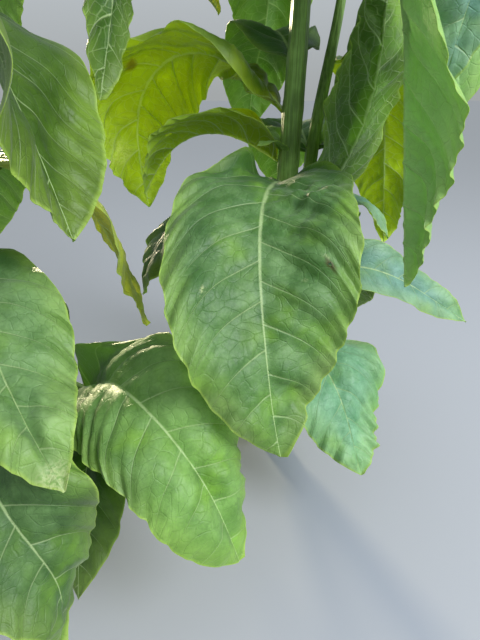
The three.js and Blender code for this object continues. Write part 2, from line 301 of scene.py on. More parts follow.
class StageSettings(bpy.types.PropertyGroup):
    """The studio: sky, lamps and the place of the camera."""

    horizon: colour("Horizon", "#a3a7a8", "Sky at the horizon, and the floor far away")
    zenith: number("Zenith", 3.2, "Sky overhead, as a multiple of the horizon", min=1)
    key: number("Key light", 7, "Strength of the low sun behind the plant")
    key_width: number("Key width", math.radians(9), "How wide the sun looks, for soft shadows",
                      subtype="ANGLE")
    fill: number("Fill lamp", 130, "The lamp in front of the plant", unit="POWER")
    exposure: number("Exposure", 0, "Brightness of the picture, in stops")
    camera: FloatVectorProperty(name="Camera", description="Where the camera stands", subtype="TRANSLATION",
                                unit="LENGTH", default=(-0.068, -0.770, 0.660))
    pitch: number("Pitch", math.radians(26), "How far the camera looks down", subtype="ANGLE")
    lens: number("Lens", 26, "Focal length in millimetres", unit="CAMERA")


# Growth, by the frame's rule.


def lerp(a, b, share):
    """The value a share of the way from a to b."""
    return a + (b - a) * share


def smooth(value, low, high):
    """0 below low, 1 above high, and a smooth step between."""
    share = np.clip((value - low) / (high - low), 0, 1)
    return share * share * (3 - 2 * share)


def hump(value, width):
    """A bell of height 1 round 0."""
    return np.exp(-((value / width) ** 2))


def unit(vectors):
    """Rows of vectors at length 1."""
    return vectors / np.linalg.norm(vectors, axis=-1, keepdims=True)


def between(at, places, points):
    """The points at these places along rows of points that lie at known places."""
    return np.stack([np.interp(at, places, points[:, k]) for k in range(3)], -1)


def spline(points):
    """A centripetal Catmull-Rom curve through the points, as many short steps."""
    points = np.array(points, float)
    ends = np.vstack([2 * points[0] - points[1], points, 2 * points[-1] - points[-2]])
    run = []
    for a, b, c, d in zip(ends, ends[1:], ends[2:], ends[3:]):
        gaps = [np.linalg.norm(q - p) ** 0.5 for p, q in ((a, b), (b, c), (c, d))]
        into = ((b - a) / gaps[0] - (c - a) / (gaps[0] + gaps[1]) + (c - b) / gaps[1]) * gaps[1]
        out = ((c - b) / gaps[1] - (d - b) / (gaps[1] + gaps[2]) + (d - c) / gaps[2]) * gaps[1]
        t = np.linspace(0, 1, CURVE_SAMPLES, endpoint=False)[:, None]
        run.append(b + into * t + (3 * (c - b) - 2 * into - out) * t**2 + (2 * (b - c) + into + out) * t**3)
    return np.vstack([*run, points[-1:]])


class Stem:
    """A stem's curve, and its radius at any share of its length."""

    def __init__(self, name):
        self.size = STEMS[name]
        self.run = spline(self.size["points"])
        steps = np.linalg.norm(np.diff(self.run, axis=0), axis=1)
        self.at = np.concatenate([[0], np.cumsum(steps)])
        self.length = self.at[-1]

    def point(self, share):
        """The points at shares of the stem's length."""
        return between(share * self.length, self.at, self.run)

    def share_at(self, height):
        """The share of the length that lies at a height."""
        return np.interp(height, self.run[:, 2], self.at) / self.length

    def radius(self, share):
        """The radius at shares of the length."""
        size = self.size
        low = lerp(size["foot"], size["middle"], share / MIDDLE_AT)
        high = lerp(size["middle"], size["tip"], (share - MIDDLE_AT) / (1 - MIDDLE_AT))
        taper = np.where(share < MIDDLE_AT, low, high)
        return taper + size["flare"] * np.exp(-share * self.length / FLARE_HEIGHT)


def grown(name):
    """A stem's leaves: those of its table, then its crown, a golden angle apart."""
    crown = CROWNS[name]
    rows = list(LEAVES[name])
    for i in range(crown["count"]):
        share = i / (crown["count"] - 1)
        span = lerp(crown["longest"], crown["shortest"], share)
        rows.append(dict(
            up=lerp(crown["start"], crown["end"], share**0.85),
            heading=crown["heading"] + GOLDEN_ANGLE * i,
            rise=lerp(38, 66, share),
            droop=lerp(100, 40, share),
            length=span,
            width=span * lerp(0.48, 0.38, share),
            tone="grown" if span > YOUNG_BELOW else "young",
        ))
    return [{**LEAF_DEFAULTS, **row} for row in rows]


def side_leaves(name, rng):
    """The small leaves of a stem: pairs in the angles of its leaves and a tuft round its tip."""
    rows = []
    for leaf in grown(name)[::SHOOT_EVERY]:
        for turn in SHOOT_SPREAD:
            rows.append(dict(
                up=leaf["up"] + SHOOT_GAP, heading=leaf["heading"] + turn + rng.uniform(-12, 12),
                rise=rng.uniform(48, 68), droop=rng.uniform(30, 80), length=rng.uniform(*SHOOT_LENGTHS)))
    top = STEMS[name]["points"][-1][2]
    for i in range(TUFT_COUNT):
        share = i / (TUFT_COUNT - 1)
        rows.append(dict(
            up=top - lerp(22, 4, share), heading=GOLDEN_ANGLE * i, rise=lerp(62, 84, share), droop=20,
            length=lerp(*reversed(TUFT_LENGTHS), share)))
    for row in rows:
        row.update(width=row["length"] * rng.uniform(0.34, 0.44), curl=10, ruffle=1.2, scallop=0.01)
    return [{**LEAF_DEFAULTS, **row} for row in rows]


def outline(t, blunt):
    """The blade's half width as a share of its greatest, from the base at 0 to the tip at 1."""
    blade = np.clip((t - STALK_SHARE) / (1 - STALK_SHARE), 0, 1)
    base = np.sqrt(1 - (np.clip(WIDEST_AT - blade, 0, 1) / WIDEST_AT) ** BASE_ROUNDNESS)
    tip = (1 - (np.clip(blade - WIDEST_AT, 0, 1) / (1 - WIDEST_AT)) ** blunt) ** TIP_SHARPNESS
    return np.where(blade < WIDEST_AT, base, tip)


def midrib(stem, leaf):
    """The midrib's points from stem to tip, with its upper side and the direction across at each."""
    share = stem.share_at(leaf["up"])
    heading = math.radians(leaf["heading"])
    start = stem.point(share) + SETTING_DEPTH * stem.radius(share) * np.array(
        [math.cos(heading), math.sin(heading), 0])
    t = np.linspace(0, 1, PATH_STEPS + 1)
    turned = np.radians(leaf["heading"] + leaf["sway"] * t * t)
    bent = smooth(t, leaf["bend"] - BEND_REACH, leaf["bend"] + BEND_REACH)
    rise = np.radians(leaf["rise"] - leaf["droop"] * bent)
    tilt = np.radians(leaf["roll"] + leaf["twist"] * t)[:, None]
    along = np.stack([np.cos(rise) * np.cos(turned), np.cos(rise) * np.sin(turned), np.sin(rise)], -1)
    flat = np.stack([-np.sin(rise) * np.cos(turned), -np.sin(rise) * np.sin(turned), np.cos(rise)], -1)
    upper = flat * np.cos(tilt) + np.cross(along, flat) * np.sin(tilt)
    steps = along[:-1] * leaf["length"] / PATH_STEPS
    points = start + np.vstack([np.zeros(3), np.cumsum(steps, axis=0)])
    return points, upper, np.cross(along, upper)


def blade_half(leaf, t):
    """The half width at t in millimetres, and how far the stalk has opened into the blade there."""
    stalk = lerp(leaf["length"] * STALK_PER_LENGTH, TIP_HALF_WIDTH, t)
    full = leaf["width"] / 2 * outline(t, leaf["blunt"])
    half = np.where(t > STALK_SHARE, np.maximum(stalk, full), stalk)
    return half, smooth(half / stalk, 1.0, 2.4)


# The blade's own grid, laid out flat: its rows follow the side veins.


def lay_grid(leaf, across, along, rows, veins, rng):
    """Where each point of a flat grid lies on the leaf: along it, out from the midrib and between veins."""
    side = (across < 0).astype(int)
    v = np.abs(across) ** COLUMN_CROWDING
    row = along * rows
    q = np.clip((row - STALK_ROWS) / (rows - STALK_ROWS), 0, 1)
    knots = np.linspace(0, 1, veins + 1)
    uneven = knots**1.12 + rng.uniform(-0.14, 0.14, veins + 1) / veins * (knots > 0) * (knots < 1)
    blade = np.interp(q, knots, uneven)
    s = np.where(row < STALK_ROWS, STALK_SHARE * row / STALK_ROWS, lerp(STALK_SHARE, 1, blade))
    most = min(0.62, VEIN_SWEEP * leaf["width"] / leaf["length"])
    swept = most * (1 - blade) * (1 - np.exp(-blade / SWEEP_START)) * (row >= STALK_ROWS)
    t = np.clip(s + swept * lerp(v, v**MARGIN_CURVE, TURN_SHARE), 0, 1)
    vein = q * veins + np.array(VEIN_OFFSET)[side]
    half_edge = blade_half(leaf, np.clip(s + swept, 0, 1))[0]
    lead = rng.uniform(0, TAU, 2)[side]
    wave = np.cos(TAU * vein) + 0.45 * np.sin(TAU * vein * 0.61 + lead)
    wave = wave + 0.2 * np.sin(TAU * vein * 2.3 + lead)
    scallop = 1 + leaf["scallop"] * smooth(v, 0.45, 1) * wave
    sign = np.where(side == 0, 1, -1)
    part = vein % 1
    return dict(side=side, sign=sign, v=v, t=t, x=sign * v * half_edge * scallop, y=t * leaf["length"],
                edge=half_edge * (1 - v), vein=vein, part=part, cell=np.floor(vein).astype(int),
                to_vein=np.minimum(part, 1 - part) * (leaf["length"] / veins))


def offset(leaf, grid, t, out):
    """How far each point lies from a place on the flat leaf, to the side and along."""
    return grid["x"] - out * blade_half(leaf, np.array(t))[0], grid["y"] - t * leaf["length"]


def pierce(mesh, leaf, grid):
    """Opens the round insect holes: draws the points round each onto its rim and returns those inside."""
    lost = np.zeros(len(grid["x"]), bool)
    faces = np.array([tuple(face.vertices) for face in mesh.polygons])
    for t, out, radius in leaf["holes"]:
        aside, ahead = offset(leaf, grid, t, out)
        reach = np.hypot(aside, ahead)
        inside = reach < radius
        inside[np.argmin(reach)] = True
        rim = np.zeros_like(lost)
        rim[faces[inside[faces].any(axis=1)]] = True
        rim &= ~inside
        pull = radius / reach[rim] - 1
        grid["x"][rim] += aside[rim] * pull
        grid["y"][rim] += ahead[rim] * pull
        lost |= inside
    grid["t"] = grid["y"] / leaf["length"]
    return lost


def rungs(spread, along, part, phase, sizes):
    """Counts the cross veins, which run from side vein to side vein, square to them and a little bent."""
    run = spread * math.sin(VEIN_SLANT) + along * math.cos(VEIN_SLANT)
    bent = 0.3 * np.sin(TAU * part + phase) + 0.3 * np.sin(run / 31 + phase)
    return run * MM / sizes.rung_gap + phase + bent


def relief(leaf, grid, sizes, rng):
    """How far each point of the blade stands up from the leaf's smooth shape, in millimetres.

    The grid keeps how plump the pillows between the veins are, for the painted light and shade on them.
    """
    side, part, cell, x, v = (grid[key] for key in ("side", "part", "cell", "x", "v"))
    size = min(1.0, leaf["width"] / FULL_RELIEF_FROM)
    spread = np.abs(x)
    gains = rng.uniform(*CELL_GAINS, (2, MOST_CELLS))[side, cell]
    arch = 1 - (2 * part - 1) ** 2
    inner = np.sin(math.pi * np.clip(v, 0, 1) ** 0.7 * 0.86)
    furrow = hump(grid["to_vein"], FURROW_WIDTH)
    crease = -sizes.crease / MM * (1 - 0.7 * v) * furrow * smooth(spread, 2, 10)
    bulge = sizes.bulge / MM * gains * leaf["crumple"] * arch * inner
    fall = np.minimum(part / STEP_RISE, (1 - part) / (1 - STEP_RISE))
    step = -np.array(leaf["steps"])[side] * (0.5 + 0.6 * gains) * smooth(fall, 0, 1) * inner
    middle = part + 0.07 * arch * np.sin(spread / 14 + grid["phase"])
    rung = rungs(spread, grid["y"], part, grid["phase"], sizes)
    quilt = (np.sin(math.pi * rung) * np.sin(TAU * middle)) ** 2
    quilt = sizes.quilt / MM * (quilt**0.7) * inner**0.5 * (0.7 + 0.5 * gains) * leaf["crumple"] ** 0.5
    pleat = leaf["pleats"] * np.abs(np.sin(TAU * part)) ** 0.8 * inner
    pleat = pleat * (side == 0) * smooth(grid["t"], *PLEAT_RANGE)
    trough = (TROUGH_RIB[0] * hump(x, TROUGH_RIB[1]) - TROUGH[0] * hump(x, TROUGH[1])) * size
    swell = np.zeros_like(x)
    for wavelength in SWELLS:
        turn, start = rng.uniform(0, TAU, 2)
        way = (x * math.cos(turn) + grid["y"] * math.sin(turn)) / wavelength
        swell += wavelength / SWELL_STEEPNESS * np.sin(TAU * way + start)
    lead = rng.uniform(0, TAU, 2)[side]
    hem = smooth(v, 0.5, 1.0) * leaf["ruffle"]
    ruffle = hem * (np.sin(TAU * grid["vein"] * 0.9 + lead) + 0.5 * np.sin(TAU * grid["vein"] * 1.9 - lead))
    folds = np.zeros_like(x)
    for t, out, radius, height in leaf["wrinkles"]:
        away = np.hypot(*offset(leaf, grid, t, out))
        run = (0.85 * grid["y"] - 0.5 * x) / WRINKLE_GAP + 0.3 * np.sin(x / 17)
        folds += height * hump(away, radius) * (1 - np.abs(np.sin(math.pi * run)))
    grid["pillow"] = np.clip((bulge + quilt) / PLUMPEST, 0, 1) - 0.4
    raised = crease + bulge + step + folds + quilt + pleat + swell * smooth(v, 0, 0.5) + ruffle
    return (size * raised + trough) * grid["opening"] * smooth(grid["t"], 0.995, 0.9)


def depth_of(leaf, grid, sizes):
    """The leaf's thickness in millimetres: a thin blade with a strong midrib and raised veins under it."""
    rib = leaf["length"] * RIB_SHARE * (1 - 0.85 * grid["t"])
    round_rib = np.sqrt(np.clip(1 - (grid["x"] / (rib * 1.15)) ** 2, 0, 1))
    ridge = hump(grid["to_vein"], RIDGE_WIDTH)
    vein = sizes.vein / MM * (1 - 0.85 * grid["v"]) * ridge * grid["opening"]
    blade = lerp(sizes.blade / MM, RIM_THICKNESS, smooth(grid["edge"], 4, 0))
    vein = vein * min(1.0, leaf["width"] / FULL_VEINS_FROM)
    return np.clip(blade + rib * round_rib + vein, RIM_THICKNESS, THICKEST)


def place_blade(stem, leaf, grid, sizes, rng):
    """The blade's points in space, in metres."""
    t = grid["t"]
    places = np.linspace(0, 1, PATH_STEPS + 1)
    points, upper, across = (between(t, places, rows) for rows in midrib(stem, leaf))
    half, opening = blade_half(leaf, t)
    grid["opening"] = opening
    reach = np.clip(np.abs(grid["x"]) / half, 0, 1)
    fold = leaf["fold"] * (1 - FOLD_FADE * t)
    slope = np.radians(opening * (fold - leaf["curl"] * reach))
    mean = np.radians(opening * (fold - leaf["curl"] * reach / 2))
    phase = math.radians(leaf["heading"]) + OTHER_MARGIN * grid["side"]
    ripple = opening * leaf["wave"] * leaf["length"] * reach**2 * np.sin(TAU * WAVES * t + phase)
    up_side = unit(upper)
    cross = unit(across)
    normal = up_side * np.cos(slope)[:, None] - cross * (grid["sign"] * np.sin(slope))[:, None]
    lift = np.abs(grid["x"]) * np.sin(mean) + ripple
    inward = grid["x"] * np.cos(mean)
    for lobe_side, lobe_at, width, height in leaf["lobes"]:
        curl = smooth(reach, 0.3, 1) * hump(t - lobe_at, width) * (grid["side"] == lobe_side)
        lift = lift + height * curl
        inward = inward * (1 - LOBE_DRAW * abs(height) * curl)
    place = points + cross * inward[:, None] + up_side * lift[:, None]
    return (place + normal * relief(leaf, grid, sizes, rng)[:, None]) * MM


# Pieces


def fresh(name):
    """Names the object that an operator has just made."""
    piece = bpy.context.active_object
    piece.name = name
    piece.data.name = name
    return piece


def clear_selection():
    """Deselects everything, so that an operator acts on the new piece alone."""
    bpy.ops.object.select_all(action="DESELECT")


def store(mesh, name, values):
    """Keeps one number for each point of the mesh, for its material to read."""
    attribute = mesh.attributes.new(name, "FLOAT", "POINT")
    attribute.data.foreach_set("value", np.asarray(values, np.float32))


def points_of(mesh):
    """The mesh's points as rows."""
    flat = np.empty(len(mesh.vertices) * 3)
    mesh.vertices.foreach_get("co", flat)
    return flat.reshape(-1, 3)


def veined_blade(name, stem, leaf, seed, sizes, look):
    """One leaf: a flat grid shaped over the leaf's own rule and thickened into a veined blade."""
    rng = np.random.default_rng(seed)
    kind = "broad" if leaf["width"] > BROAD_FROM else "narrow"
    veins = max(FEWEST_VEINS, round(leaf["length"] * MM / sizes.vein_gap))
    rows = STALK_ROWS + veins * ROWS_PER_VEIN[kind]
    columns = 2 * max(6, round(leaf["width"] / 2 / CELL[kind]))
    clear_selection()
    bpy.ops.mesh.primitive_grid_add(x_subdivisions=columns, y_subdivisions=rows, size=2)
    piece = fresh(name)
    mesh = piece.data
    flat = points_of(mesh)
    grid = lay_grid(leaf, flat[:, 0], (flat[:, 1] + 1) / 2, rows, veins, rng)
    grid["phases"] = rng.uniform(0, TAU, (2, MOST_CELLS))
    grid["phase"] = grid["phases"][grid["side"], grid["cell"]]
    lost = pierce(mesh, leaf, grid)
    place = place_blade(stem, leaf, grid, sizes, rng)
    mesh.vertices.foreach_set("co", place.ravel())
    draw_maps(mesh, grid, sizes)
    store_marks(mesh, leaf, grid, rng)
    group = piece.vertex_groups.new(name="depth")
    for index, depth in enumerate(depth_of(leaf, grid, sizes)):
        group.add([index], depth / THICKEST, "REPLACE")
    if lost.any():
        remove_points(mesh, lost)
    upper_count = len(mesh.vertices)
    modifier = piece.modifiers.new("Thickness", "SOLIDIFY")
    modifier.thickness = THICKEST * MM
    modifier.offset = -1
    modifier.vertex_group = "depth"
    bpy.ops.object.modifier_apply(modifier=modifier.name)
    piece.vertex_groups.clear()
    store(mesh, "under", np.arange(len(mesh.vertices)) >= upper_count)
    bpy.ops.object.shade_smooth_by_angle(angle=math.radians(60))
    mesh.materials.append(look)
    return piece


def draw_maps(mesh, grid, sizes):
    """Three maps: vein counts side veins and runs to the margin, rung counts cross veins, flat is metres."""
    corners = np.empty(len(mesh.loops), int)
    mesh.loops.foreach_get("vertex_index", corners)
    faces = corners.reshape(-1, 4)
    side = (grid["x"][faces].mean(axis=1) < 0).astype(int)
    starts = np.array(VEIN_OFFSET)
    count = grid["vein"][faces] + starts[side][:, None] - starts[grid["side"]][faces]
    cell = np.floor(count.mean(axis=1)).astype(int)
    part = count - cell[:, None]
    phase = grid["phases"][side, cell][:, None]
    spread, along = np.abs(grid["x"])[faces], grid["y"][faces]
    maps = {
        "vein": (count, grid["v"][faces]),
        "rung": (rungs(spread, along, part, phase, sizes), part),
        "flat": (grid["x"][faces] * MM, grid["y"][faces] * MM),
    }
    for name, (u, v) in maps.items():
        layer = mesh.uv_layers.get(name) or mesh.uv_layers.new(name=name)
        layer.data.foreach_set("uv", np.stack([u, v], -1).astype(np.float32).ravel())
    mesh.uv_layers.remove(mesh.uv_layers["UVMap"])


def store_marks(mesh, leaf, grid, rng):
    """What the material needs to know: how near midrib and margin are, the leaf's tint with painted shade
    towards its base, how plump its pillows are for painted light and shade, and its damage with painted
    sunlight and shade.
    """
    rib = np.maximum(0.6, leaf["length"] * RIB_SHARE * (1 - grid["t"]) ** 1.15)
    store(mesh, "rib", grid["x"] / rib)
    store(mesh, "edge", grid["edge"])
    # Each leaf's green shifts a little at random, and painted shade darkens it towards its base.
    store(mesh, "tint", rng.uniform(-0.1, 0.1) - 0.45 * smooth(grid["t"], 0.36, 0.05))
    store(mesh, "pillow", grid["pillow"])
    # Pale patches of wear and of painted sunlight, and brown patches of tissue that has died and of painted
    # shade.
    for name in ("wear_and_sun_patches", "dead_and_hole_shade"):
        marked = np.zeros(len(grid["x"]))
        for t, out, radius, depth in leaf[name]:
            away = np.hypot(*offset(leaf, grid, t, out))
            marked = np.maximum(marked, depth * smooth(away, radius, radius * 0.4))
        store(mesh, name, marked)


def remove_points(mesh, lost):
    """Deletes the marked points with their faces."""
    shape = bmesh.new()
    shape.from_mesh(mesh)
    shape.verts.ensure_lookup_table()
    bmesh.ops.delete(shape, geom=[shape.verts[i] for i in np.flatnonzero(lost)], context="VERTS")
    shape.to_mesh(mesh)
    shape.free()


def ridged_stalk(name, stem, leaves, settings, look):
    """One stem: a tube along its curve with fine ridges that run down from each leaf's foot."""
    rings = round(stem.length * MM / settings.ring_gap)
    clear_selection()
    bpy.ops.mesh.primitive_cylinder_add(vertices=settings.sides, radius=1, depth=2)
    piece = fresh(name)
    mesh = piece.data
    bpy.ops.object.mode_set(mode="EDIT")
    bpy.ops.mesh.select_mode(type="EDGE")
    bpy.ops.mesh.select_all(action="DESELECT")
    shape = bmesh.from_edit_mesh(mesh)
    for edge in shape.edges:
        edge.select = abs(edge.verts[0].co.z - edge.verts[1].co.z) > 1
    bmesh.update_edit_mesh(mesh)
    bpy.ops.mesh.subdivide(number_cuts=rings - 1)
    bpy.ops.object.mode_set(mode="OBJECT")
    flat = points_of(mesh)
    angle = np.arctan2(flat[:, 1], flat[:, 0])
    place, ridge = round_stem(stem, leaves, settings, (flat[:, 2] + 1) / 2, angle)
    mesh.vertices.foreach_set("co", (place * MM).ravel())
    store(mesh, "ridge", ridge)
    bpy.ops.object.shade_smooth_by_angle(angle=math.radians(50))
    mesh.materials.clear()
    mesh.materials.append(look)
    return piece


# The two edges that run down a stalk from each leaf's foot: how far to the side, and how far down.
EDGE_ANGLE = 24
EDGE_RUN = 190


def off_heading(angle, heading):
    """How far angles round a stalk lie from a heading, in radians either way."""
    return np.angle(np.exp(1j * (angle - math.radians(heading))))


def round_stem(stem, leaves, settings, share, angle):
    """The stalk's surface points in millimetres, and how high each lies on the ridges."""
    centre = stem.point(share)
    along = unit(stem.point(np.minimum(1, share + 0.004)) - stem.point(np.maximum(0, share - 0.004)))
    if stem.size["flare"]:
        along = unit(lerp(np.array([0, 0, 1.0]), along, smooth(share, 0, 0.03)[:, None]))
    side = unit(np.array([1.0, 0, 0]) - along * along[:, :1])
    back = np.cross(along, side)
    run = share * stem.length
    ridge = np.cos(5 * angle + 0.9 * np.sin(run / 170)) + 0.45 * np.cos(13 * angle + 0.7 * np.sin(run / 90))
    ridge = settings.ridge / MM * (ridge + 0.18 * np.cos(29 * angle + run / 240))
    for leaf in leaves:
        above = stem.share_at(leaf["up"]) * stem.length
        for edge in (-EDGE_ANGLE, EDGE_ANGLE):
            reach = smooth(run, above - EDGE_RUN, above - 12) * smooth(run, above + 3, above - 3)
            ridge = ridge + 1.5 * reach * hump(off_heading(angle, leaf["heading"] + edge), 0.11)
        ridge = ridge + 1.8 * hump(run - above, 9) * hump(off_heading(angle, leaf["heading"]), 0.75)
        ridge = ridge + 0.9 * hump(run - above - 10, 4)
    thick = stem.radius(share)
    ridge = ridge * np.clip(thick / 14, 0.12, 1)
    outward = side * np.cos(angle)[:, None] + back * np.sin(angle)[:, None]
    place = centre + outward * (thick + ridge)[:, None]
    place[:, 2] = np.where(share <= 0, centre[:, 2], np.maximum(place[:, 2], 0))
    return place, ridge


# Materials


def add(tree, kind, settings=None, links=None):
    """Adds a shader node, sets its own settings or its sockets' values, and links its sockets.

    A link comes from a socket, or from the first output of a node.
    """
    node = tree.nodes.new("ShaderNode" + kind)
    for name, value in (settings or {}).items():
        if isinstance(name, str) and hasattr(node, name):
            setattr(node, name, value)
        else:
            node.inputs[name].default_value = value
    for name, source in (links or {}).items():
        tree.links.new(getattr(source, "outputs", [source])[0], node.inputs[name])
    return node


def emptied(owner):
    """The node tree of a new material or world, emptied."""
    owner.use_nodes = True
    owner.node_tree.nodes.clear()
    return owner.node_tree


def per(millimetres):
    """The scale that gives a pattern on metres features of this size."""
    return 1 / (millimetres * MM)


def solid(value):
    """A colour setting as a node takes it."""
    return (*value, 1.0)


# Settings that several nodes share: a map range with soft ends, a mix of colours, products, and products
# with a sum, and the edges of flat cells.
SOFT = {"interpolation_type": "SMOOTHSTEP"}
RGBA = {"data_type": "RGBA"}
TIMES = {"operation": "MULTIPLY"}
TIMES_PLUS = {"operation": "MULTIPLY_ADD"}
CELL_EDGES = {"feature": "DISTANCE_TO_EDGE", "voronoi_dimensions": "2D"}

# Widths in millimetres: side veins at midrib and margin, cross veins, and the soft and sharp lime edges.
VEIN_WIDTHS = (1.9, 0.8)
RUNG_WIDTH = 1.3
HEM_WIDTHS = (30, 2.0)
BLOTCH, SPECK, PATCH, MESH_OF_NET, WANDER = 42, 3.2, 95, 5, 13
RUNG_WANDER = (0.3, 0.1, 0)  # in cross vein and side vein gaps
NET_WANDER = (0.005, 0.005, 0)  # in metres
# Shares of colour. Pairs are for the upper and the under side.
# The creases and the net are painted dark on the upper side, as painted shade, and pale on the under side,
# as veins.
CREASE_SHADE_AND_VEIN_SHARES = (0.11, 0.32)
# The pillows are painted lighter above and darker below, as painted light and shade.
PILLOW_LIGHT_AND_SHADE = (0.1, -0.42)
NET_SHADE_AND_VEIN_SHARE = 0.03
VEIN_SHARES = (0.52, 0.2)  # at the midrib and at the margin
VEIN_MORE_BELOW = 0.4
UNDER_SHARE = 0.55
STREAK = (2.6, 2.6, 70)  # millimetres round and along the stalk
STALK_BLOTCH = 45
LEAF_BUMP, STALK_BUMP = 0.9, 0.8  # how high the finest relief stands, in millimetres


def leaf_lines(tree, flat, sizes):
    """The shares of side veins, cross veins and fine net at a point, each 1 on its line and 0 off it."""
    vein_map = add(tree, "UVMap", {"uv_map": "vein"})
    rung_map = add(tree, "UVMap", {"uv_map": "rung"})
    vein = add(tree, "SeparateXYZ", links={0: vein_map})
    count, out = vein.outputs[:2]
    to_vein = add(tree, "Math", {"operation": "PINGPONG", 1: 0.5}, {0: count})
    near, far = (wide * MM / sizes.vein_gap for wide in VEIN_WIDTHS)
    width = add(tree, "MapRange", {3: near, 4: far}, {0: out})
    side_line = add(tree, "MapRange", {**SOFT, 3: 1, 4: 0}, {0: to_vein, 2: width})
    wander = add(tree, "TexNoise", {"Scale": per(WANDER), "Detail": 2}, {"Vector": flat})
    bent = add(tree, "VectorMath", {**TIMES_PLUS, 1: RUNG_WANDER}, {0: wander.outputs["Color"], 2: rung_map})
    # The map counts cross veins one way and vein gaps the other, so it is stretched to square cells.
    cells = add(tree, "VectorMath", {**TIMES, 1: (1, sizes.vein_gap / sizes.rung_gap, 0)}, {0: bent})
    cell = add(tree, "TexVoronoi", {**CELL_EDGES, "Scale": 1, "Randomness": 0.9}, {"Vector": cells})
    cross_line = add(tree, "MapRange", {**SOFT, 2: RUNG_WIDTH * MM / sizes.rung_gap, 3: 1, 4: 0},
                     {0: cell.outputs["Distance"]})
    bent_flat = add(tree, "VectorMath", {**TIMES_PLUS, 1: NET_WANDER},
                    {0: wander.outputs["Color"], 2: flat})
    net = add(tree, "TexVoronoi", {**CELL_EDGES, "Scale": per(MESH_OF_NET)}, {"Vector": bent_flat})
    net_line = add(tree, "MapRange", {**SOFT, 2: 0.16, 3: 1, 4: 0}, {0: net.outputs["Distance"]})
    return out, to_vein, side_line, cross_line, net_line


